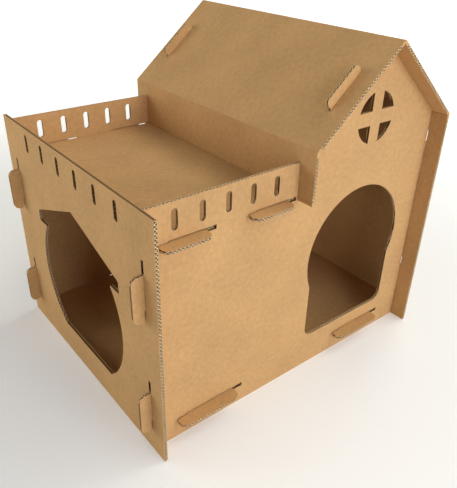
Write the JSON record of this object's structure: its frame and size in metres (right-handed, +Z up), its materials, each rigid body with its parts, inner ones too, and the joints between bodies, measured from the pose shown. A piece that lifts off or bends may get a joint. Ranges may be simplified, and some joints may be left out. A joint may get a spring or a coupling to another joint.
{
  "type": "cardboard cat house",
  "caption": "Slotted corrugated-board cat house with an open terrace beside a gabled tower, an arched doorway, a round barred window and a large side opening.",
  "frame": {"origin": "on the ground, in the middle of the plan", "axes": "+X from the terrace to the tower, +Y from the doorway side to the back, +Z up"},
  "size_m": [0.495, 0.385, 0.4502],
  "materials": {
    "kraft_board": "bare matte kraft liner"
  },
  "bodies": {
    "root": {"left_wall": "kraft_board", "front_wall": "kraft_board", "back_wall": "kraft_board", "folded_roof_sheet": "kraft_board", "raised_floor": "kraft_board"}
  },
  "joints": []
}
